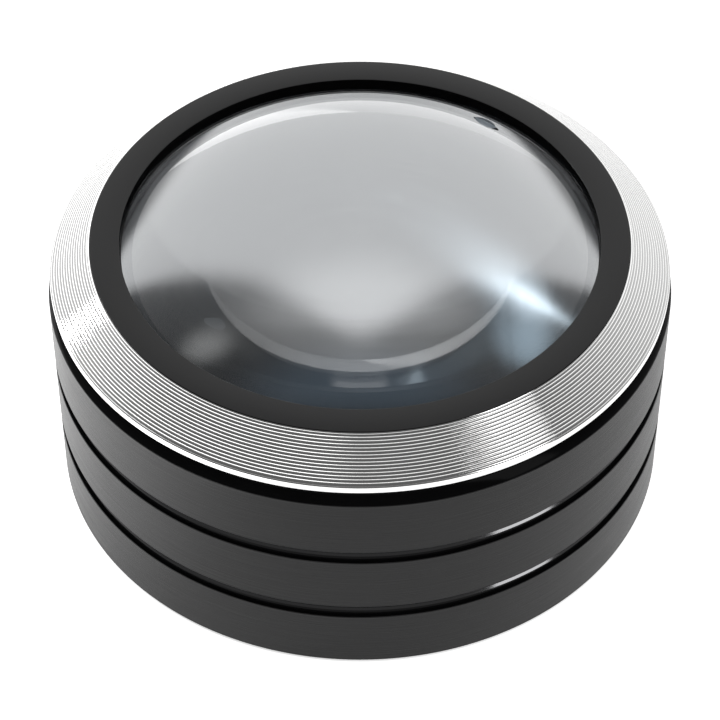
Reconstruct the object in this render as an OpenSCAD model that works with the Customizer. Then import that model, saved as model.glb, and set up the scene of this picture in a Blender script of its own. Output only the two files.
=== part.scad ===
// Low vision magnifier: a turned metal puck with a domed lens in its top.
// It stands on the page, and three lamps round the inside light the print.
// Origin: centre of the underside. Z is up. The battery door is at the back (+Y).

/* [Body] */
// Outside diameter of the turned body
body_d = 90; // [88:0.5:96]
// Height of the body's top shoulder above the table
body_top = 34.54; // [34.3:0.05:34.8]
// Wall thickness of the body
body_wall = 2.1; // [1.9:0.1:2.3]
// Depth of the two grooves that part the three bands
groove_depth = 0.65; // [0.3:0.05:1]
// Gap between the body's lower edge and the table
body_lift = 0.4; // [0.2:0.1:0.6]

/* [Bezel and trim] */
// Number of fine ridges turned on the bezel's slope
ridge_count = 15; // [5:1:18]
// Height of each ridge
ridge_height = 0.12; // [0.05:0.01:0.2]
// Share of the slope left plain below the ridges
plain_share = 0.08; // [0.04:0.01:0.15]
// Height of the upright land at the bezel's lower edge
land_height = 0.7; // [0.4:0.1:1]
// Top of the trim ring above the table
trim_top = 41.08; // [40.8:0.02:41.4]
// Inner diameter of the trim ring
trim_bore = 68.7; // [68.5:0.1:69]

/* [Lens] */
// Radius of curvature of the lens's domed upper face; the lower face is flat
lens_curve_r = 62; // [60:1:150]
// Thickness of the lens at its edge
lens_edge = 3; // [2.8:0.1:3.2]

/* [Lamps and board] */
// Number of lamps round the inside
lamp_count = 3; // [3:1:3]
// Diameter of each lamp
lamp_d = 3; // [2:0.1:3]
// Downward tilt of each lamp
lamp_tilt = 30; // [20:1:35]
// Thickness of the circuit board
board_t = 1; // [0.8:0.1:1.2]

/* [Battery] */
// Diameter of each button cell
cell_d = 11.6; // [10:0.1:11.6]
// Thickness of each button cell
cell_t = 5.4; // [3.6:0.1:5.4]
// Angle between one cell and the next
cell_pitch = 20; // [19:0.5:20]
// Half the angle that the battery door covers
door_half = 33.5; // [33:0.25:34]

/* [Hidden] */
$fn = 128;

black = [0.09, 0.09, 0.1];
dark = [0.2, 0.2, 0.21];
silver = [0.86, 0.87, 0.88];
pale = [0.76, 0.77, 0.78];
steel = [0.66, 0.67, 0.68];
green = [0.1, 0.34, 0.2];

body_r = body_d / 2;
bore_r = body_r - body_wall;

// The three bands and the grooves between them
band_edge = 0.15;
groove_z = [[9.93, 12.23], [21.46, 23.71]];
shoulder_drop = 1.34;
lip_z = 33.4;
lip_r = body_r - 3.2;

// Bezel: upright land, then a straight slope up to the trim ring
bezel_r = body_r - 0.4;
bezel_z = 35.5;
bezel_seat_z = 36;
bezel_in_r = 38.65;
slope_run = bezel_r - bezel_in_r;
slope_rise = trim_top - bezel_z - land_height;
ridge_end = 0.97;

// Trim ring: a flat top with a skirt that holds the lens down
trim_r = 38.6;
trim_skirt_r = 36;

// Lens: a spherical cap over a flat flange
lens_r = 35.7;
lens_clear_r = 34.2;
lens_flange_z = 36.2;
lens_rise = lens_curve_r - sqrt(pow(lens_curve_r, 2) - pow(lens_clear_r, 2));
lens_top_z = lens_flange_z + lens_edge + lens_rise;

// Carrier that the lens rests on, below the body's inner lip
carrier_z = 31.8;
carrier_seat_z = 35.4;
carrier_r = bore_r - 0.3;
carrier_bore_r = 33.9;
ring_in_r = 39.4;

// Inner sleeve round the clear view
view_r = 33.8;
sleeve_r = 35;
sleeve_z = 3.1;
post_r = 2.3;
post_at = 38.6;
post_top = 14;
tab_t = 1.2;

// Board below the sleeve's tabs
board_z = carrier_z - tab_t - board_t;
board_in_r = 35.6;
board_out_r = 41.4;
lamp_angles = [for (i = [0:lamp_count - 1]) 303 - 120 * i];
tab_angles = [30, 150, 270];
bezel_screw_angles = [0, 120, 240];
lamp_z = 26.8;
pin_angle = 210;
pin_at = 40.55;

// Base ring and what it carries
base_z = 0.9;
recess_z = 2.3;
base_screw_angles = [10, 170, 240, 300];
foot_angles = [30, 150, 270];
foot_half = 13;
door_angle = 90;
door_in_r = 35.9;
door_out_r = 42.2;
door_gap = 0.15;
door_screw_half = 31.2;
door_screw_at = 39.1;

// Battery holder and cells, each cell standing on edge
holder_half = 33.2;
holder_top = 15.6;
cell_in = 36.4;
cell_z = 2.65 + cell_d / 2;
pocket_w = cell_d + 0.3;
contact_t = 0.25;
cell_angles = [door_angle + cell_pitch, door_angle, door_angle - cell_pitch];

// A straight ring between two radii
module ring(r_out, r_in, z, h) {
  translate([0, 0, z])
    difference() {
      cylinder(r = r_out, h = h);
      translate([0, 0, -1])
        cylinder(r = r_in, h = h + 2);
    }
}

// A part of a ring, centred on an angle
module arc_block(r_out, r_in, z, h, centre, half) {
  rotate([0, 0, centre - half])
    translate([0, 0, z])
      rotate_extrude(angle = 2 * half)
        translate([r_in, 0])
          square([r_out - r_in, h]);
}

// Copies of the children standing at a radius, at each angle
module around(angles, at) {
  for (a = angles)
    rotate([0, 0, a])
      translate([at, 0, 0])
        children();
}

// A cross recess, cut up into a head from below
module cross_cut(z, size, depth) {
  for (a = [0, 90])
    rotate([0, 0, a])
      translate([-size / 2, -size / 7, z - 1])
        cube([size, size / 3.5, depth + 1]);
}

// A machine screw that goes in upwards
module screw_up(z, head_r, head_h, shank_r, length) {
  difference() {
    union() {
      translate([0, 0, z])
        cylinder(r = head_r, h = head_h);
      translate([0, 0, z + head_h])
        cylinder(r = shank_r, h = length);
    }
    cross_cut(z, head_r * 1.3, head_h * 0.55);
  }
}

// Outline of one groove: a bevel on the band below, then an upright floor
function groove_points(low, high) = [
  [body_r, high],
  [body_r - groove_depth, high - 0.25],
  [body_r - groove_depth, low + groove_depth],
  [body_r, low]
];

module body_shell() {
  color(black)
    rotate_extrude()
      polygon(concat(
        [
          [lip_r, lip_z],
          [lip_r, body_top],
          [body_r - shoulder_drop, body_top],
          [body_r, body_top - shoulder_drop]
        ],
        groove_points(groove_z[1][0], groove_z[1][1]),
        groove_points(groove_z[0][0], groove_z[0][1]),
        [
          [body_r, body_lift + band_edge],
          [body_r - band_edge, body_lift],
          [bore_r, body_lift],
          [bore_r, lip_z]
        ]
      ));
}

module insulating_ring() {
  color(black)
    difference() {
      union() {
        ring(lip_r - 0.1, ring_in_r, lip_z, body_top - lip_z);
        ring(bezel_r - 1.2, ring_in_r, body_top, bezel_seat_z - body_top);
      }
      around(bezel_screw_angles, pin_at)
        translate([0, 0, lip_z - 1])
          cylinder(r = 1.05, h = 5);
      around([pin_angle], pin_at)
        translate([0, 0, lip_z - 1])
          cylinder(r = 1, h = 5);
    }
}

// Points up the slope: one valley and one crest for each ridge
function slope_at(t, out) = [
  bezel_r - slope_run * t + out * slope_rise / norm([slope_run, slope_rise]),
  bezel_z + land_height + slope_rise * t + out * slope_run / norm([slope_run, slope_rise])
];
ridge_step = (ridge_end - plain_share) / ridge_count;
ridge_points = [
  for (i = [0:ridge_count - 1])
    for (k = [0, 1])
      slope_at(plain_share + ridge_step * (i + k / 2), k == 0 ? 0 : -ridge_height)
];

module bezel() {
  color(silver)
    difference() {
      rotate_extrude()
        polygon(concat(
          [
            [bezel_in_r, bezel_seat_z],
            [bezel_r - 1, bezel_seat_z],
            [bezel_r - 1, bezel_z],
            [bezel_r, bezel_z],
            [bezel_r, bezel_z + land_height]
          ],
          ridge_points,
          [[bezel_in_r, trim_top]]
        ));
      around(bezel_screw_angles, pin_at)
        translate([0, 0, bezel_seat_z - 1])
          cylinder(r = 1, h = 3.2);
    }
}

module trim_ring() {
  color(dark)
    rotate_extrude()
      polygon([
        [trim_bore / 2, lens_flange_z + lens_edge],
        [trim_skirt_r, lens_flange_z + lens_edge],
        [trim_skirt_r, carrier_seat_z],
        [trim_r, carrier_seat_z],
        [trim_r, trim_top],
        [trim_bore / 2 + 0.15, trim_top],
        [trim_bore / 2, trim_top - 0.15]
      ]);
}

module lens() {
  color([0.9, 0.94, 0.96, 0.35])
    union() {
      intersection() {
        translate([0, 0, lens_flange_z + lens_edge / 2])
          cylinder(r = lens_clear_r, h = lens_edge + lens_rise);
        translate([0, 0, lens_top_z - lens_curve_r])
          sphere(r = lens_curve_r);
      }
      translate([0, 0, lens_flange_z])
        cylinder(r = lens_r, h = lens_edge);
    }
}

module lens_gasket() {
  color(black)
    ring(lens_r, 34.4, carrier_seat_z, lens_flange_z - carrier_seat_z);
}

module lens_carrier() {
  color(dark)
    difference() {
      union() {
        ring(carrier_r, carrier_bore_r, carrier_z, lip_z - carrier_z);
        ring(ring_in_r - 0.1, carrier_bore_r, lip_z, carrier_seat_z - lip_z);
      }
      around(bezel_screw_angles, pin_at)
        translate([0, 0, carrier_z - 1])
          cylinder(r = 1.05, h = 4);
      around(tab_angles, post_at)
        translate([0, 0, carrier_z - 1])
          cylinder(r = 0.9, h = 2.6);
      around([pin_angle], pin_at)
        translate([0, 0, carrier_z - 1])
          cylinder(r = 1, h = 4);
    }
}

module bezel_screws() {
  color(steel)
    around(bezel_screw_angles, pin_at)
      screw_up(carrier_z - 0.9, 1.7, 0.9, 1, 6.3);
}

module inner_sleeve() {
  color(pale)
    difference() {
      union() {
        ring(sleeve_r, view_r, sleeve_z, carrier_z - sleeve_z);
        around(base_screw_angles, post_at)
          translate([0, 0, sleeve_z])
            cylinder(r = post_r, h = post_top - sleeve_z);
        around(base_screw_angles, sleeve_r - 0.5)
          translate([0, -0.8, sleeve_z + 0.5])
            cube([post_at - sleeve_r, 1.6, post_top - sleeve_z - 1]);
        for (a = tab_angles)
          arc_block(board_out_r, sleeve_r - 0.4, carrier_z - tab_t, tab_t - 0.05, a, 4);
      }
      around(base_screw_angles, post_at)
        translate([0, 0, sleeve_z - 1])
          cylinder(r = 0.9, h = 8);
      around(tab_angles, post_at)
        translate([0, 0, carrier_z - tab_t - 1])
          cylinder(r = 0.95, h = tab_t + 2);
      for (a = lamp_angles)
        lamp_axis(a)
          cylinder(r = lamp_d / 2 + 0.1, h = 12, center = true);
    }
}

// Local frame of a lamp: it looks inwards and down, along its own +Z
module lamp_axis(angle) {
  rotate([0, 0, angle])
    translate([sleeve_r, 0, lamp_z])
      rotate([0, -90 - lamp_tilt, 0])
        children();
}

module lamp(angle) {
  color([0.95, 0.96, 1])
    lamp_axis(angle)
      union() {
        translate([0, 0, -1.9])
          cylinder(r = lamp_d / 2 + 0.35, h = 1);
        translate([0, 0, -1.9])
          cylinder(r = lamp_d / 2, h = 2.6);
        translate([0, 0, 0.7])
          sphere(r = lamp_d / 2);
      }
}

module led_1() {
  lamp(lamp_angles[0]);
}

module led_2() {
  lamp(lamp_angles[1]);
}

module led_3() {
  lamp(lamp_angles[2]);
}

module led_board() {
  color(green)
    difference() {
      ring(board_out_r, board_in_r, board_z, board_t);
      around(tab_angles, post_at)
        translate([0, 0, board_z - 1])
          cylinder(r = 0.95, h = board_t + 2);
    }
}

module board_screws() {
  color(steel)
    around(tab_angles, post_at)
      screw_up(board_z - 0.8, 1.6, 0.8, 0.8, 3.4);
}

module led_resistors() {
  color(black)
    around([for (a = lamp_angles) a + 9], 38.4)
      translate([-0.6, -1, board_z + board_t])
        cube([1.2, 2, 0.5]);
}

module touch_chip() {
  color(black)
    around([pin_angle - 12], 38.4)
      translate([-1.9, -2.4, board_z - 1.4])
        cube([3.8, 4.8, 1.4]);
}

module touch_pin() {
  color([0.8, 0.66, 0.3])
    around([pin_angle], pin_at)
      union() {
        translate([0, 0, board_z + board_t])
          cylinder(r = 0.75, h = 3.2);
        translate([0, 0, board_z + board_t + 3.2])
          cylinder(r = 0.45, h = bezel_seat_z - board_z - board_t - 3.2);
      }
}

module base_ring() {
  color(black)
    difference() {
      ring(bore_r - 0.1, view_r, base_z, sleeve_z - base_z);
      arc_block(door_out_r + door_gap, door_in_r - door_gap, base_z - 1, recess_z - base_z + 1,
        door_angle, door_half + 0.3);
      arc_block(door_out_r - 0.1, door_in_r + 0.2, base_z - 1, 4, door_angle, 28.6);
      around(base_screw_angles, post_at)
        translate([0, 0, base_z - 1])
          cylinder(r = 1.9, h = 2.2);
      around(base_screw_angles, post_at)
        translate([0, 0, base_z - 1])
          cylinder(r = 1.05, h = 4);
      around([door_angle - door_screw_half, door_angle + door_screw_half], door_screw_at)
        translate([0, 0, base_z - 1])
          cylinder(r = 0.86, h = 4);
    }
}

module base_screws() {
  color(steel)
    around(base_screw_angles, post_at)
      screw_up(1.1, 1.75, 1, 0.9, 7);
}

module foot_pads() {
  color(dark)
    for (a = foot_angles)
      arc_block(41.4, 37, 0, base_z, a, foot_half);
}

module battery_holder() {
  color(dark)
    difference() {
      arc_block(bore_r - 0.2, sleeve_r + 0.2, sleeve_z, holder_top - sleeve_z, door_angle, holder_half);
      around(cell_angles, cell_in - contact_t - 0.1)
        translate([0, -pocket_w / 2, sleeve_z - 1])
          cube([cell_t + 2 * contact_t + 0.2, pocket_w, cell_z + cell_d / 2 - sleeve_z + 1.1]);
      around([door_angle - door_screw_half, door_angle + door_screw_half], door_screw_at)
        translate([0, 0, sleeve_z - 1])
          cylinder(r = 0.86, h = 5);
    }
}

module button_cell(angle) {
  color(steel)
    rotate([0, 0, angle])
      translate([cell_in, 0, cell_z])
        rotate([0, 90, 0])
          union() {
            cylinder(r = cell_d / 2 - 0.7, h = cell_t);
            translate([0, 0, 0.35])
              cylinder(r = cell_d / 2, h = cell_t - 0.35);
          }
}

module cell_1() {
  button_cell(cell_angles[0]);
}

module cell_2() {
  button_cell(cell_angles[1]);
}

module cell_3() {
  button_cell(cell_angles[2]);
}

// A flat contact plate against one face of a cell
module contact_plate(angle, at) {
  rotate([0, 0, angle])
    translate([at, -2.2, cell_z - 3])
      cube([contact_t, 4.4, 8.6]);
}

module contact_positive() {
  color(steel)
    contact_plate(cell_angles[0], cell_in + cell_t);
}

module contact_negative() {
  color(steel)
    contact_plate(cell_angles[2], cell_in - contact_t);
}

module contact_links() {
  color(steel) {
    contact_plate(cell_angles[0], cell_in - contact_t);
    contact_plate(cell_angles[1], cell_in + cell_t);
    contact_plate(cell_angles[1], cell_in - contact_t);
    contact_plate(cell_angles[2], cell_in + cell_t);
  }
}

module lead(angle, tint) {
  color(tint)
    around([angle], 39.6)
      translate([0, 0, holder_top])
        cylinder(r = 0.55, h = board_z - holder_top);
}

module lead_positive() {
  lead(cell_angles[0] + 6, [0.7, 0.1, 0.1]);
}

module lead_negative() {
  lead(cell_angles[2] - 6, [0.08, 0.08, 0.08]);
}

module battery_door() {
  color(black)
    difference() {
      arc_block(door_out_r, door_in_r, base_z, recess_z - base_z - 0.05, door_angle, door_half);
      around([door_angle - door_screw_half, door_angle + door_screw_half], door_screw_at)
        translate([0, 0, base_z - 1])
          cylinder(r = 1.7, h = 1.75);
      around([door_angle - door_screw_half, door_angle + door_screw_half], door_screw_at)
        translate([0, 0, base_z - 1])
          cylinder(r = 0.86, h = 4);
      arc_block(41, 37.1, base_z - 1, 1.3, door_angle, 2.2);
    }
}

module door_cushion() {
  color(dark)
    arc_block(41.2, 36.9, recess_z - 0.05, 0.35, door_angle, 26);
}

module door_screw(angle) {
  color(steel)
    around([angle], door_screw_at)
      screw_up(0.95, 1.5, 0.65, 0.8, 5);
}

module door_screw_1() {
  door_screw(door_angle + door_screw_half);
}

module door_screw_2() {
  door_screw(door_angle - door_screw_half);
}

body_shell();
insulating_ring();
bezel();
trim_ring();
lens();
lens_gasket();
lens_carrier();
bezel_screws();
inner_sleeve();
led_board();
board_screws();
led_1();
led_2();
led_3();
led_resistors();
touch_chip();
touch_pin();
base_ring();
base_screws();
foot_pads();
battery_holder();
cell_1();
cell_2();
cell_3();
contact_positive();
contact_negative();
contact_links();
lead_positive();
lead_negative();
battery_door();
door_cushion();
door_screw_1();
door_screw_2();
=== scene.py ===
import math
import bpy
import numpy as np
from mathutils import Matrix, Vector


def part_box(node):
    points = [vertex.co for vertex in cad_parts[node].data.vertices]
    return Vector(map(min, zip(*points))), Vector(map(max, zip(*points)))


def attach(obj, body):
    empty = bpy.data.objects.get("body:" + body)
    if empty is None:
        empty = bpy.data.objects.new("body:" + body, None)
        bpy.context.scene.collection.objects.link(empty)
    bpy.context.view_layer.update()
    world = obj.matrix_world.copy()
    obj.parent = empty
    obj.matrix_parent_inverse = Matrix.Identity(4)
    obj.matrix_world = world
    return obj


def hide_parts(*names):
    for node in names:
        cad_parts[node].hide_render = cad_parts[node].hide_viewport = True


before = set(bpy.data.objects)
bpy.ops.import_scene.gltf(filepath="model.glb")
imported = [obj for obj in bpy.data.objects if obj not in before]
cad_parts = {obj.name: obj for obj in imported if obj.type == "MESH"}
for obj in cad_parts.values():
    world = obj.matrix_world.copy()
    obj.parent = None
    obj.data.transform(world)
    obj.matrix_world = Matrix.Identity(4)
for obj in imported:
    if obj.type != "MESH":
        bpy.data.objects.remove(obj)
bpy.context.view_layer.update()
print("frame loaded:", len(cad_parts), "nodes")

mm = 0.001


# small helpers for node trees

def addNode(tree, kind, **values):
    node = tree.nodes.new(kind)
    for key, value in values.items():
        setattr(node, key, value)
    return node


def mathNode(tree, operation, a, b=0.0):
    node = addNode(tree, "ShaderNodeMath", operation=operation)
    for socket, value in zip(node.inputs, (a, b)):
        if isinstance(value, (int, float)):
            socket.default_value = value
        else:
            tree.links.new(value, socket)
    return node.outputs[0]


def mapRange(tree, value, fromEnds, toEnds, easing="LINEAR"):
    # carries a value from one span onto another
    node = addNode(tree, "ShaderNodeMapRange", interpolation_type=easing)
    tree.links.new(value, node.inputs["Value"])
    for label, number in zip(("From Min", "From Max", "To Min", "To Max"), (*fromEnds, *toEnds)):
        node.inputs[label].default_value = number
    return node.outputs["Result"]


def objectPlace(tree):
    # where a point lies on its piece, whole and split into X, Y and Z
    where = addNode(tree, "ShaderNodeTexCoord").outputs["Object"]
    split = addNode(tree, "ShaderNodeSeparateXYZ")
    tree.links.new(where, split.inputs[0])
    return where, split.outputs


def awayFromAxis(tree, place):
    # distance from the Z axis: the root of X squared plus Y squared
    squares = [mathNode(tree, "MULTIPLY", place[axis], place[axis]) for axis in "XY"]
    return mathNode(tree, "SQRT", mathNode(tree, "ADD", *squares))


def newMaterial(name):
    material = bpy.data.materials.new(name)
    material.use_nodes = True
    tree = material.node_tree
    tree.nodes.clear()
    out = tree.nodes.new("ShaderNodeOutputMaterial")
    shader = tree.nodes.new("ShaderNodeBsdfPrincipled")
    tree.links.new(shader.outputs["BSDF"], out.inputs["Surface"])
    return material, tree, shader


def swapWhere(tree, share, shader, other):
    # the other shader takes over where the share is 1
    surface = shader.outputs["BSDF"].links[0].to_socket
    mix = addNode(tree, "ShaderNodeMixShader")
    for socket, value in zip(mix.inputs, (share, shader.outputs["BSDF"], other.outputs["BSDF"])):
        tree.links.new(value, socket)
    tree.links.new(mix.outputs["Shader"], surface)


def groupShell(name, inputs, outputs):
    group = bpy.data.node_groups.new(name, "ShaderNodeTree")
    for label, value in inputs.items():
        socket = group.interface.new_socket(label, in_out="INPUT", socket_type="NodeSocketFloat")
        socket.default_value = value
    for label in outputs:
        group.interface.new_socket(label, in_out="OUTPUT", socket_type="NodeSocketFloat")
    return group, group.nodes.new("NodeGroupInput").outputs, group.nodes.new("NodeGroupOutput").inputs


def useGroup(tree, group, **values):
    node = addNode(tree, "ShaderNodeGroup", node_tree=group)
    for key, value in values.items():
        node.inputs[key.replace("_", " ")].default_value = value
    return node.outputs


# the camera, the room round the magnifier and its lamps

look = {
    "tilt": 45.5,        # degrees down onto the lens
    "distance": 0.4154,  # from the point looked at, on the body's axis
    "aimHeight": 0.01547,
    "lensLength": 139.0,
    "sensorWidth": 36.0,
    "nearest": 0.01,
}


def inFront(tilt, distance):
    # a place on the near side, at a tilt in degrees and a distance
    angle = math.radians(tilt)
    return 0.0, -distance * math.cos(angle), distance * math.sin(angle)


room = {
    "white": 0.95,
    "dark": 0.12,
    "darkEnds": (-0.50, 0.62),  # cosine of the angle from the camera, from full white to full dark
    "floorReach": 40.0,
    "floorCorners": 64,
    "lampAim": (0, 0, 0.03),
    # place, size and power; the first is low enough for the near wall to shade the page,
    # and the other two are mirrored in the bezel
    "lamps": {
        "frontSoftbox": (inFront(42.5, 0.6), (0.15, 0.15), 0.5),
        "leftGlint": ((-0.84, 0.378, 0.39), (0.11, 0.16), 2.6),
        "rightPanel": ((0.580, -0.391, 0.566), (0.27, 0.55), 1.3),
    },
    "notMirrored": ("frontSoftbox",),
}


def makeCamera():
    data = bpy.data.cameras.new("camera")
    data.lens = look["lensLength"]
    data.sensor_width = look["sensorWidth"]
    data.clip_start = look["nearest"]
    camera = bpy.data.objects.new("camera", data)
    bpy.context.collection.objects.link(camera)
    x, y, z = inFront(look["tilt"], look["distance"])
    camera.location = (x, y, z + look["aimHeight"])
    camera.rotation_euler = (math.pi / 2 - math.radians(look["tilt"]), 0, 0)
    bpy.context.scene.camera = camera


def makeWorld():
    # an even white room with a darker patch behind the camera
    world = bpy.data.worlds.new("whiteRoom")
    bpy.context.scene.world = world
    world.use_nodes = True
    tree = world.node_tree
    tree.nodes.clear()
    out = addNode(tree, "ShaderNodeOutputWorld")
    back = addNode(tree, "ShaderNodeBackground")
    where = addNode(tree, "ShaderNodeTexCoord")
    toward = addNode(tree, "ShaderNodeVectorMath", operation="DOT_PRODUCT")
    toward.inputs[1].default_value = inFront(look["tilt"], 1.0)
    tree.links.new(where.outputs["Generated"], toward.inputs[0])
    shade = mapRange(tree, toward.outputs["Value"], room["darkEnds"],
        (room["white"], room["dark"]), "SMOOTHSTEP")
    back.inputs["Color"].default_value = (1, 1, 1, 1)
    tree.links.new(shade, back.inputs["Strength"])
    tree.links.new(back.outputs["Background"], out.inputs["Surface"])


def makeLights():
    for name, (place, size, power) in room["lamps"].items():
        data = bpy.data.lights.new(name, "AREA")
        data.shape = "RECTANGLE"
        data.size, data.size_y = size
        data.energy = power
        lamp = bpy.data.objects.new(name, data)
        bpy.context.collection.objects.link(lamp)
        lamp.location = place
        lamp.visible_transmission = False
        lamp.visible_glossy = name not in room["notMirrored"]
        x, y, z = np.array(room["lampAim"]) - np.array(place)
        lamp.rotation_euler = (math.atan2(math.hypot(x, y), -z), 0, math.atan2(y, x) - math.pi / 2)


# patterns that several finishes share

latheNoise = {
    "squeeze": (90.0, 90.0, 1.7),  # slow round a ring, and fast from one line to the next
    "detail": 3.0,
    "gain": 4.0,
}
grainNoise = {"smallDetail": 2.0, "cloudDetail": 4.0}
noiseEnds = (0.3, 0.7)  # the part of a noise's span that nearly all of it lies in


def turnedLinesGroup():
    # fine lathe lines: a sine wave of a ring's height or radius, broken up by slow noise round the ring
    group, given, out = groupShell("turnedLines",
        {"Height Share": 1.0, "Pitch": 0.0004, "Break Up": 0.4}, ("Height", "Mottle"))
    place = objectPlace(group)[1]
    along = mathNode(group, "ADD",
        mathNode(group, "MULTIPLY", place["Z"], given["Height Share"]),
        mathNode(group, "MULTIPLY", awayFromAxis(group, place),
            mathNode(group, "SUBTRACT", 1.0, given["Height Share"])))
    steps = mathNode(group, "DIVIDE", along, given["Pitch"])
    squeeze = addNode(group, "ShaderNodeCombineXYZ")
    for socket, value, factor in zip(squeeze.inputs, (place["X"], place["Y"], steps), latheNoise["squeeze"]):
        group.links.new(mathNode(group, "MULTIPLY", value, factor), socket)
    grain = addNode(group, "ShaderNodeTexNoise")
    grain.inputs["Scale"].default_value = 1.0
    grain.inputs["Detail"].default_value = latheNoise["detail"]
    group.links.new(squeeze.outputs[0], grain.inputs["Vector"])
    wave = mathNode(group, "SINE", mathNode(group, "MULTIPLY", steps, 2 * math.pi))
    even = mathNode(group, "MULTIPLY", wave, mathNode(group, "SUBTRACT", 1.0, given["Break Up"]))
    broken = mathNode(group, "MULTIPLY", mathNode(group, "SUBTRACT", grain.outputs["Fac"], 0.5),
        mathNode(group, "MULTIPLY", given["Break Up"], latheNoise["gain"]))
    group.links.new(mathNode(group, "ADD", even, broken), out["Height"])
    group.links.new(grain.outputs["Fac"], out["Mottle"])
    return group


def fineGrainGroup():
    # moulded or blasted grain, and a larger cloud for the tint
    group, given, out = groupShell("fineGrain", {"Scale": 3000.0, "Cloud Scale": 60.0}, ("Height", "Cloud"))
    where = addNode(group, "ShaderNodeTexCoord").outputs["Object"]
    for label, detail, result in (("Scale", grainNoise["smallDetail"], "Height"),
            ("Cloud Scale", grainNoise["cloudDetail"], "Cloud")):
        noise = addNode(group, "ShaderNodeTexNoise")
        noise.inputs["Detail"].default_value = detail
        group.links.new(where, noise.inputs["Vector"])
        group.links.new(given[label], noise.inputs["Scale"])
        group.links.new(noise.outputs["Fac"], out[result])
    return group


turnedLines = turnedLinesGroup()
fineGrain = fineGrainGroup()


# finishes: tint and roughness each wander between two values, and depth is the bump's, in millimetres

turnedFinishes = {
    # height share is 1 for lines up a wall and 0 for lines across a flat; pitch is in millimetres
    "blackAnodised": {"heightShare": 1.0, "pitch": 0.17, "breakUp": 0.75, "rough": (0.3, 0.4), "ior": 1.3,
        "dark": (0.003, 0.003, 0.0033), "light": (0.006, 0.006, 0.0063), "bump": 0.8, "depth": 0.01},
    "grooveSheen": {"heightShare": 1.0, "pitch": 0.1, "breakUp": 0.8, "rough": (0.08, 0.13), "metallic": 1.0,
        "dark": (0.17, 0.17, 0.175), "light": (0.22, 0.22, 0.225)},
    "brightBezel": {"heightShare": 0.2, "pitch": 0.06, "breakUp": 0.8, "rough": (0.06, 0.1), "metallic": 1.0,
        "dark": (0.80, 0.80, 0.795), "light": (0.87, 0.87, 0.865), "bump": 0.3, "depth": 0.004},
    "satinTrim": {"heightShare": 0.0, "pitch": 0.12, "breakUp": 0.9, "rough": (0.3, 0.38),
        "dark": (0.014, 0.014, 0.0145), "light": (0.02, 0.02, 0.0205), "bump": 0.15, "depth": 0.006},
    "turnedSleeve": {"heightShare": 1.0, "pitch": 0.3, "breakUp": 0.5, "rough": (0.09, 0.12), "metallic": 1.0,
        "dark": (0.29, 0.295, 0.30), "light": (0.31, 0.315, 0.32), "bump": 0.03, "depth": 0.0006},
}
glossBlack = {"grain": 900.0, "cloud": 80.0, "rough": (0.08, 0.14), "ior": 1.1,
    "dark": (0.002, 0.002, 0.0022), "light": (0.004, 0.004, 0.0042), "bump": 0.05, "depth": 0.01}


def tintSurface(tree, shader, given, mottle):
    tint = addNode(tree, "ShaderNodeMix", data_type="RGBA")
    tree.links.new(mottle, tint.inputs["Factor"])
    tint.inputs["A"].default_value = (*given["dark"], 1)
    tint.inputs["B"].default_value = (*given["light"], 1)
    tree.links.new(tint.outputs["Result"], shader.inputs["Base Color"])


def finishSurface(tree, shader, given, mottle, height):
    tintSurface(tree, shader, given, mottle)
    tree.links.new(mapRange(tree, mottle, noiseEnds, given["rough"]), shader.inputs["Roughness"])
    shader.inputs["Metallic"].default_value = given.get("metallic", 0.0)
    shader.inputs["IOR"].default_value = given.get("ior", 1.5)
    if "bump" in given:
        bump = addNode(tree, "ShaderNodeBump")
        bump.inputs["Strength"].default_value = given["bump"]
        bump.inputs["Distance"].default_value = given["depth"] * mm
        tree.links.new(height, bump.inputs["Height"])
        tree.links.new(bump.outputs["Normal"], shader.inputs["Normal"])


def turnedFinish(name):
    given = turnedFinishes[name]
    material, tree, shader = newMaterial(name)
    lines = useGroup(tree, turnedLines, Height_Share=given["heightShare"], Pitch=given["pitch"] * mm,
        Break_Up=given["breakUp"])
    finishSurface(tree, shader, given, lines["Mottle"], lines["Height"])
    return material


def grainedFinish(name, given):
    material, tree, shader = newMaterial(name)
    grain = useGroup(tree, fineGrain, Scale=given["grain"], Cloud_Scale=given["cloud"])
    finishSurface(tree, shader, given, grain["Cloud"], grain["Height"])
    return material


# the paper that the magnifier stands on

paper = {
    "white": (0.93, 0.93, 0.93, 1),
    "rough": 0.9,
    "specular": 0.1,
    # painted light, glowing from the paper itself, in metres from one edge to the other and at the far one:
    # round the body, where it paints out the body's shadow, left and right
    "around": (0.0440, 0.0452, 0.9),
    "left": (-0.025, -0.075, 1.1),
    "right": (0.03, 0.08, 0.1),
    # painted pools of light on the page under the lens, standing in for lamp light, in millimetres and
    # degrees:
    # middle, turn, half sizes, where it starts and ends fading, level, tint
    "paintedPools": (
        ((0, 20.6), 0, (3.6, 15.0), (0.75, 1.25), 1.40, (1.0, 0.99, 0.98)),
        ((0, 11.2), 0, (7.0, 5.4), (0.3, 1.2), 0.55, (1.0, 0.99, 0.98)),
        ((12.8, 12.6), -30, (5.2, 4.2), (0.2, 1.2), 0.60, (1.0, 0.98, 0.95)),
        ((-5.4, 19.6), 134, (3.2, 1.5), (0.1, 1.3), 3.4, (0.86, 0.95, 1.0)),
        ((-5.2, 19.4), 0, (4.2, 3.2), (0.1, 1.3), 1.7, (0.78, 0.91, 1.0)),
        ((-7.8, 21.9), 134, (4.0, 1.2), (0.2, 1.2), 2.6, (0.78, 0.92, 1.0)),
        ((-12.5, 14.8), 40, (9.5, 4.6), (0.2, 1.2), 1.25, (0.66, 0.86, 1.0)),
        ((0, -13.0), 0, (26.0, 18.0), (0.3, 1.2), 0.17, (0.42, 0.70, 1.0)),
    ),
}


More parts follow.
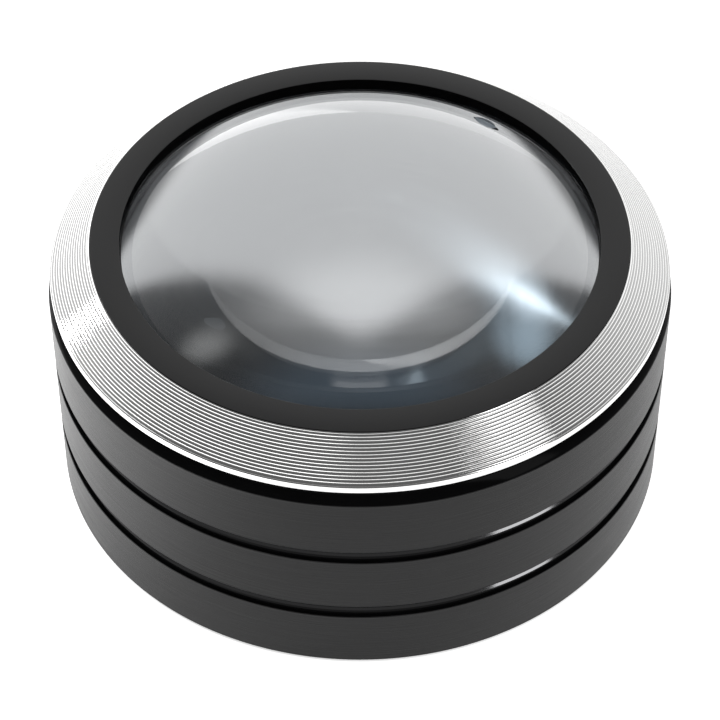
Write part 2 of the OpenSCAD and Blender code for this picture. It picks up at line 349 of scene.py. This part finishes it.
def addPaintedLight(tree, total, amount, tint):
    # running sum of tinted painted light, which the paper glows with
    step = addNode(tree, "ShaderNodeVectorMath", operation="MULTIPLY_ADD")
    step.inputs[0].default_value = tint
    tree.links.new(amount, step.inputs[1])
    if total is not None:
        tree.links.new(total, step.inputs[2])
    return step.outputs["Vector"]


def paintedPoolFade(tree, where, middle, turn, halves, fade, level):
    # a painted pool of light shaped as an ellipse: full inside the fade's start, measured in half sizes from
    # the middle, and gone at its end
    mapping = addNode(tree, "ShaderNodeMapping", vector_type="TEXTURE")
    mapping.inputs["Location"].default_value = (middle[0] * mm, middle[1] * mm, 0)
    mapping.inputs["Rotation"].default_value = (0, 0, math.radians(turn))
    mapping.inputs["Scale"].default_value = (halves[0] * mm, halves[1] * mm, 1)
    flat = addNode(tree, "ShaderNodeVectorMath", operation="MULTIPLY")
    flat.inputs[1].default_value = (1, 1, 0)
    reach = addNode(tree, "ShaderNodeVectorMath", operation="LENGTH")
    tree.links.new(where, mapping.inputs["Vector"])
    tree.links.new(mapping.outputs[0], flat.inputs[0])
    tree.links.new(flat.outputs[0], reach.inputs[0])
    return mapRange(tree, reach.outputs["Value"], fade, (level, 0.0), "SMOOTHSTEP")


def floorPaper():
    material, tree, shader = newMaterial("floorPaper")
    shader.inputs["Base Color"].default_value = paper["white"]
    shader.inputs["Roughness"].default_value = paper["rough"]
    shader.inputs["Specular IOR Level"].default_value = paper["specular"]
    where, place = objectPlace(tree)
    total = None
    # painted light: the paper glows from just outside the body's foot outward, over the body's shadow, and
    # more towards the left than the right
    for value, side in ((awayFromAxis(tree, place), "around"), (place["X"], "left"), (place["X"], "right")):
        start, end, level = paper[side]
        amount = mapRange(tree, value, (start, end), (0.0, level), "SMOOTHSTEP")
        total = addPaintedLight(tree, total, amount, (1, 1, 1))
    # each painted pool of light adds its tinted glow to the paper
    for *shape, tint in paper["paintedPools"]:
        total = addPaintedLight(tree, total, paintedPoolFade(tree, where, *shape), tint)
    # all the painted light goes in as the paper's emission
    tree.links.new(total, shader.inputs["Emission Color"])
    shader.inputs["Emission Strength"].default_value = 1.0
    # the paper is clear from below, so the underside can be looked at through it
    below = addNode(tree, "ShaderNodeNewGeometry").outputs["Backfacing"]
    swapWhere(tree, below, shader, addNode(tree, "ShaderNodeBsdfTransparent"))
    return material


def makeFloor():
    # a flat disc at the feet's height, wide enough to reach the edge of every view
    corners = room["floorCorners"]
    turn = np.linspace(0, 2 * np.pi, corners, endpoint=False)
    rim = room["floorReach"] * np.column_stack([np.cos(turn), np.sin(turn), np.zeros(corners)])
    mesh = bpy.data.meshes.new("floor")
    mesh.from_pydata(rim.tolist(), [], [list(range(corners))])
    floor = bpy.data.objects.new("floor", mesh)
    bpy.context.collection.objects.link(floor)
    floor.data.materials.append(floorPaper())


# helpers for turned shapes; outlines are radius and height in millimetres

def putMesh(name, points, faces, material, smoothAngle):
    mesh = bpy.data.meshes.new(name)
    mesh.from_pydata(points.tolist(), [], faces)
    mesh.polygons.foreach_set("use_smooth", np.ones(len(mesh.polygons), bool))
    mesh.set_sharp_from_angle(angle=math.radians(smoothAngle))
    mesh.materials.append(material)
    mesh.update()
    piece = bpy.data.objects.new(name, mesh)
    bpy.context.collection.objects.link(piece)
    return piece


def aroundAxis(outline, segments):
    # each outline point at its radius times the cosine and sine of every turn, and its height
    turn = np.linspace(0, 2 * np.pi, segments, endpoint=False)[:, None]
    radius, height = outline.T
    return np.stack([radius * np.cos(turn), radius * np.sin(turn),
        np.broadcast_to(height, (segments, len(outline)))], axis=2).reshape(-1, 3) * mm


def gridFaces(segments, count, steps):
    # four corners for each step along the outline and each turn round the axis
    ring, step = np.meshgrid(np.arange(segments), np.arange(steps), indexing="ij")
    here, there, nextStep = ring * count, (ring + 1) % segments * count, (step + 1) % count
    return np.stack([here + step, here + nextStep, there + nextStep, there + step], axis=2).reshape(-1, 4)


def turnedPiece(name, outline, material, segments, smoothAngle=30.0):
    # a closed outline carried once round the Z axis; its signed area tells which way the faces point
    faces = gridFaces(segments, len(outline), len(outline))
    radius, height = outline.T
    if np.sum(radius * np.roll(height, -1) - np.roll(radius, -1) * height) > 0:
        faces = faces[:, ::-1]
    return putMesh(name, aroundAxis(outline, segments), faces.tolist(), material, smoothAngle)


def softCorners(corners, radii, steps):
    # each corner becomes a curve of second degree that starts and ends its radius away from the corner
    corners = np.asarray(corners, float)
    longest = 0.45  # share of a side that one corner may take
    path = []
    around = zip(corners, np.roll(corners, 1, axis=0), np.roll(corners, -1, axis=0), radii)
    for corner, before, after, radius in around:
        if radius <= 0:
            path.append(corner)
            continue
        lengths = np.hypot(*(before - corner)), np.hypot(*(after - corner))
        reach = min(radius, longest * lengths[0], longest * lengths[1])
        start = corner + (before - corner) / lengths[0] * reach
        end = corner + (after - corner) / lengths[1] * reach
        t = np.linspace(0, 1, steps + 1)[:, None]
        path.extend((1 - t) ** 2 * start + 2 * t * (1 - t) * corner + t ** 2 * end)
    return np.array(path)


def ridgesBetween(start, end, count, depth, samples, sink):
    # equal ridges along a straight line; sink gives each one's share of the depth, to the line's left
    start, end = np.array(start, float), np.array(end, float)
    along = end - start
    left = np.array([-along[1], along[0]]) / np.hypot(*along)
    t = np.arange(1, count * samples) / (count * samples)
    return start + t[:, None] * along + (sink(t * count) * depth)[:, None] * left


def softWave(turns):
    # half of one less the cosine
    return 0.5 - 0.5 * np.cos(2 * np.pi * turns)


def roundBead(turns):
    # a parabola over each ridge, so that a sharp valley lies between each two
    return (2 * (turns % 1) - 1) ** 2


def faceValues(piece, key):
    values = np.zeros(len(piece.data.polygons) * 3)
    piece.data.polygons.foreach_get(key, values)
    return values.reshape(-1, 3)


# the black body with its three bands and two grooves

body = {
    "radius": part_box("body_shell")[1][1] / mm,
    "lift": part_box("body_shell")[0][2] / mm,
    "top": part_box("body_shell")[1][2] / mm,
    "wall": 2.1,
    "lipReach": 3.2,
    "lipHeight": 33.4,
    "shoulder": 1.34,              # bevel at the top, in and down
    "shoulderEase": (0.06, 0.04),
    "footBevel": (0.15, 0.12),     # in and up
    "bandEdge": 0.08,
    "bandEase": 0.3,               # share of the edge
    "linePitch": 0.42,
    "lineDepth": 0.026,
    "linePoints": 2,
    "grooves": ((9.93, 12.23), (21.46, 23.71)),
    "grooveDepth": 0.65,
    "grooveCut": 0.12,
    "underBand": 0.3,
    "sheenTop": 1.45,              # above the groove's lower edge
    "sheenWidth": 0.28,
    "undercut": 0.1,
    "ledge": 0.16,
    "roundOff": 0.07,
    "bandSkin": 0.08,              # faces deeper than this aren't on a band
    "ledgeSkin": 0.03,             # nor are flatter ones deeper than this
    "flatFrom": 0.5,               # upward part of a flatter face's normal
    "bevelSlack": 0.1,
    "segments": 360,
}


def bandPath(low, high):
    # one band from its top edge down: two eased edges, and a zigzag of shallow lathe lines between them
    r, edge = body["radius"], body["bandEdge"]
    ease = edge * body["bandEase"]
    count = round((high - low - 2 * edge) / body["linePitch"])
    return np.vstack([
        [[r - ease, high - ease], [r, high - edge]],
        ridgesBetween((r, high - edge), (r, low + edge), count, -body["lineDepth"],
            body["linePoints"], softWave),
        [[r, low + edge], [r - ease, low + ease]],
    ])


def groovePath(low, high):
    # down the groove: under the upper band, the upright floor, a 45 degree bevel, the undercut and the ledge
    r, cut, sheen = body["radius"], body["grooveCut"], body["sheenWidth"]
    floor, bevel = r - body["grooveDepth"], low + body["sheenTop"]
    back = floor + sheen - cut
    return np.array([
        [r - cut, high], [floor + cut / 2, high - cut], [floor, high - body["underBand"]],
        [floor, bevel], [floor + sheen, bevel - sheen],
        [back, bevel - sheen - body["undercut"]], [back, low + body["ledge"]],
        [r - body["roundOff"], low + body["roundOff"]],
    ])


def bodyOutline():
    # from the lip inside, over the shoulder, down the bands and grooves, and back up the inner wall
    r, top, foot, lip = body["radius"], body["top"], body["lift"], body["lipHeight"]
    edge, shoulder = r - body["shoulder"], top - body["shoulder"]
    easeIn, easeOut = body["shoulderEase"]
    footIn, footUp = body["footBevel"]
    lower, upper = body["grooves"]
    return np.vstack([
        [[r - body["lipReach"], lip], [r - body["lipReach"], top]],
        [[edge - easeIn, top], [edge + easeOut, top - easeOut]],
        [[r - body["roundOff"], shoulder + body["roundOff"]]],
        bandPath(upper[1], shoulder),
        groovePath(*upper),
        bandPath(lower[1], upper[0]),
        groovePath(*lower),
        bandPath(foot + footUp, lower[0]),
        [[r - footIn, foot], [r - body["wall"], foot], [r - body["wall"], lip]],
    ])


def makeBody():
    piece = turnedPiece("bodyShell", bodyOutline(), turnedFinish("blackAnodised"), body["segments"])
    piece.data.materials.append(grainedFinish("grooveBlack", glossBlack))
    piece.data.materials.append(turnedFinish("grooveSheen"))
    # what stands back from the bands is gloss black, and the bevels in the grooves have the sheen
    centre = faceValues(piece, "center") / mm
    depth = body["radius"] - np.hypot(centre[:, 0], centre[:, 1])
    rising = faceValues(piece, "normal")[:, 2]
    flatter = np.abs(rising) > body["flatFrom"]
    setBack = (depth > body["bandSkin"]) | (flatter & (depth > body["ledgeSkin"]))
    sloping = np.abs(rising - math.sqrt(0.5)) < body["bevelSlack"]
    bevel = setBack & sloping & (centre[:, 2] < body["grooves"][1][1])
    piece.data.polygons.foreach_set("material_index", setBack.astype(int) + bevel)
    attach(piece, "magnifier")
    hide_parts("body_shell")


# the bright bezel, the black trim and the ring in the recess

bezel = {
    "low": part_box("bezel")[0][2] / mm,
    "radius": body["radius"] - 0.4,
    "boreRadius": 38.65,
    "seat": 36.0,
    "rimWidth": 1.0,           # flat underside, outside the recess
    "land": 0.98,              # height of the plain upright edge
    "edgeRounds": (0.12, 0.25),
    "roundSteps": 5,
    "ridges": 15,
    "ridgePoints": 8,
    "ridgeDepth": 0.09,
    "ridgeSpan": (0.025, 0.97),  # shares of the slope
    "topEase": (0.06, -0.03),
    "topDrop": 0.06,
    "segments": 400,
    "smoothAngle": 40.0,
}
trim = {
    "top": 41.08,
    "radius": 38.6,
    "bore": 34.35,
    "skirt": 36.0,
    "seat": 35.4,
    "lensEdge": 39.2,
    "rounds": (0.05, 0, 0, 0, 0.1, 0.16),  # the last is the edge round the lens
    "roundSteps": 4,
    "glossBelow": 0.8,  # upward part of the normal, under which a face is gloss black
    "segments": 360,
}
recess = {
    "bore": 39.4,
    "setBack": 1.2,  # behind the bezel's edge
    "lipGap": 0.1,
    "round": 0.04,
    "roundSteps": 2,
    "segments": 240,
}


def makeBezel():
    # an upright land, and a straight slope of rounded ridges up to the trim
    low, r = bezel["low"], bezel["radius"]
    inner = r - bezel["rimWidth"]
    top = np.array([bezel["boreRadius"], trim["top"]])
    start = np.array([r, low + bezel["land"]])
    ridgeFrom, ridgeTo = (start + (top - start) * share for share in bezel["ridgeSpan"])
    outline = np.vstack([
        [[bezel["boreRadius"], bezel["seat"]], [inner, bezel["seat"]], [inner, low]],
        softCorners([[inner, low], [r, low], start, ridgeFrom], (0, *bezel["edgeRounds"], 0),
            bezel["roundSteps"])[1:],
        ridgesBetween(ridgeFrom, ridgeTo, bezel["ridges"], bezel["ridgeDepth"],
            bezel["ridgePoints"], roundBead),
        [ridgeTo, top + bezel["topEase"], top - [0, bezel["topDrop"]]],
    ])
    piece = turnedPiece("bezelRing", outline, turnedFinish("brightBezel"),
        bezel["segments"], bezel["smoothAngle"])
    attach(piece, "magnifier")
    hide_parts("bezel")


def makeTrim():
    # a flat top and an upright outside, with a skirt that reaches down round the lens
    top, r = trim["top"], trim["radius"]
    outline = softCorners([
        [trim["bore"], trim["lensEdge"]], [trim["skirt"], trim["lensEdge"]], [trim["skirt"], trim["seat"]],
        [r, trim["seat"]], [r, top], [trim["bore"], top],
    ], trim["rounds"], trim["roundSteps"])
    piece = turnedPiece("trimRing", outline, turnedFinish("satinTrim"), trim["segments"])
    piece.data.materials.append(grainedFinish("trimEdge", glossBlack))
    steep = np.abs(faceValues(piece, "normal")[:, 2]) < trim["glossBelow"]
    piece.data.polygons.foreach_set("material_index", steep.astype(int))
    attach(piece, "magnifier")
    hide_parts("trim_ring")


def makeRecessRing():
    # a stepped ring: narrow inside the body's lip, and wide over the body's top
    outer = bezel["radius"] - recess["setBack"]
    lip = body["radius"] - body["lipReach"] - recess["lipGap"]
    corners = [
        [recess["bore"], body["lipHeight"]], [lip, body["lipHeight"]], [lip, body["top"]],
        [outer, body["top"]], [outer, bezel["seat"]], [recess["bore"], bezel["seat"]],
    ]
    outline = softCorners(corners, [recess["round"]] * len(corners), recess["roundSteps"])
    piece = turnedPiece("recessRing", outline, grainedFinish("recessBlack", glossBlack), recess["segments"])
    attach(piece, "magnifier")
    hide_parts("insulating_ring")


# the lens

lens = {
    "radius": 35.7,
    "clear": 34.2,
    "flangeLow": 36.2,
    "flangeHigh": 39.2,
    "curve": 62.0,
    "gap": 0.02,        # so that the glass touches nothing
    "domeRings": 72,
    "segments": 256,
    "smoothAngle": 12,
    "tint": (0.97, 0.985, 1.0, 1),
    "ior": 1.5,
    "shadowTint": (0.92, 0.93, 0.94, 1),
}


def clearLens():
    # clear glass; lamps shine through it, so shadow rays pass as through a window
    material, tree, shader = newMaterial("clearLens")
    shader.inputs["Base Color"].default_value = lens["tint"]
    shader.inputs["Roughness"].default_value = 0.0
    shader.inputs["IOR"].default_value = lens["ior"]
    shader.inputs["Transmission Weight"].default_value = 1.0
    window = addNode(tree, "ShaderNodeBsdfTransparent")
    window.inputs["Color"].default_value = lens["shadowTint"]
    swapWhere(tree, addNode(tree, "ShaderNodeLightPath").outputs["Is Shadow Ray"], shader, window)
    return material


def makeLens():
    # a flat lower face, an upright rim and a dome, whose rise at a radius is the root of
    # the curve squared less that radius squared; the outline starts and ends on the axis
    low, high = lens["flangeLow"] + lens["gap"], lens["flangeHigh"] - lens["gap"]
    edge, segments = lens["radius"] - lens["gap"], lens["segments"]
    r = np.linspace(0, lens["clear"], lens["domeRings"])
    rise = np.sqrt(lens["curve"] ** 2 - r ** 2) - math.sqrt(lens["curve"] ** 2 - lens["clear"] ** 2)
    dome = np.column_stack([r, high + rise])[::-1]
    outline = np.vstack([[[lens["clear"] / 2, low], [edge, low], [edge, high]], dome[:-1]])
    poles = np.array([[0, 0, low], [0, 0, dome[-1, 1]]]) * mm
    points = np.vstack([aroundAxis(outline, segments), poles])
    count, bottom, top = len(outline), segments * len(outline), segments * len(outline) + 1
    faces = gridFaces(segments, count, count - 1)[:, ::-1].tolist()
    here = np.arange(segments) * count
    there = np.roll(here, -1)
    faces += np.column_stack([np.full(segments, bottom), there, here]).tolist()
    faces += np.column_stack([np.full(segments, top), here + count - 1, there + count - 1]).tolist()
    piece = putMesh("domedLens", points, faces, clearLens(), lens["smoothAngle"])
    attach(piece, "magnifier")
    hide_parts("lens")


# finishes of the pieces that keep their own shape

moulded = {"grain": 2500.0, "cloud": 120.0, "bump": 0.3, "depth": 0.01}
plated = {"grain": 1800.0, "cloud": 200.0, "bump": 0.12, "depth": 0.006, "metallic": 1.0}
insideFinishes = {
    "softRubber": {**moulded, "grain": 1500.0, "rough": (0.7, 0.81),
        "dark": (0.012, 0.012, 0.012), "light": (0.022, 0.022, 0.022),
        "nodes": ("lens_gasket", "foot_pads", "door_cushion")},
    "satinPlastic": {**moulded, "rough": (0.37, 0.48),
        "dark": (0.014, 0.014, 0.015), "light": (0.024, 0.024, 0.025),
        "nodes": ("lens_carrier", "base_ring", "battery_holder", "battery_door")},
    "boardMask": {**moulded, "rough": (0.25, 0.36),
        "dark": (0.008, 0.07, 0.03), "light": (0.02, 0.12, 0.05), "nodes": ("led_board",)},
    "chipPlastic": {**moulded, "rough": (0.45, 0.56),
        "dark": (0.012, 0.012, 0.013), "light": (0.02, 0.02, 0.021),
        "nodes": ("led_resistors", "touch_chip")},
    "redLead": {**moulded, "rough": (0.35, 0.46),
        "dark": (0.35, 0.01, 0.01), "light": (0.45, 0.02, 0.02), "nodes": ("lead_positive",)},
    "blackLead": {**moulded, "rough": (0.35, 0.46),
        "dark": (0.008, 0.008, 0.008), "light": (0.014, 0.014, 0.014), "nodes": ("lead_negative",)},
    "platedSteel": {**plated, "rough": (0.23, 0.36),
        "dark": (0.55, 0.56, 0.57), "light": (0.68, 0.69, 0.7),
        "nodes": ("bezel_screws", "board_screws", "base_screws", "contact_positive", "contact_negative",
            "contact_links", "door_screw_1", "door_screw_2")},
    "cellNickel": {**plated, "rough": (0.17, 0.3),
        "dark": (0.6, 0.6, 0.6), "light": (0.74, 0.74, 0.73), "nodes": ("cell_1", "cell_2", "cell_3")},
    "goldPin": {**plated, "rough": (0.15, 0.28),
        "dark": (0.75, 0.55, 0.22), "light": (0.88, 0.68, 0.32), "nodes": ("touch_pin",)},
}
lampFinish = {"grain": 600.0, "cloud": 300.0, "rough": 0.15, "glow": (0.75, 0.88, 1.0, 1),
    "strength": 0.1, "dark": (0.5, 0.53, 0.56), "light": (0.58, 0.61, 0.64)}


def lampBody():
    material, tree, shader = newMaterial("lampBody")
    grain = useGroup(tree, fineGrain, Scale=lampFinish["grain"], Cloud_Scale=lampFinish["cloud"])
    tintSurface(tree, shader, lampFinish, grain["Cloud"])
    shader.inputs["Roughness"].default_value = lampFinish["rough"]
    shader.inputs["Emission Color"].default_value = lampFinish["glow"]
    shader.inputs["Emission Strength"].default_value = lampFinish["strength"]
    return material


def dress(names, material):
    for name in names:
        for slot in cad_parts[name].material_slots:
            slot.material = material


def dressNodes():
    for name, given in insideFinishes.items():
        dress(given["nodes"], grainedFinish(name, given))
    dress(("inner_sleeve",), turnedFinish("turnedSleeve"))
    dress(("led_1", "led_2", "led_3"), lampBody())


makeBody()
makeBezel()
makeTrim()
makeRecessRing()
print("body and rings made")
makeLens()
print("lens made")
dressNodes()
print("inside pieces finished")
makeFloor()
makeCamera()
makeWorld()
makeLights()
bpy.context.scene.view_settings.view_transform = "Standard"
print("floor, camera and lights made")
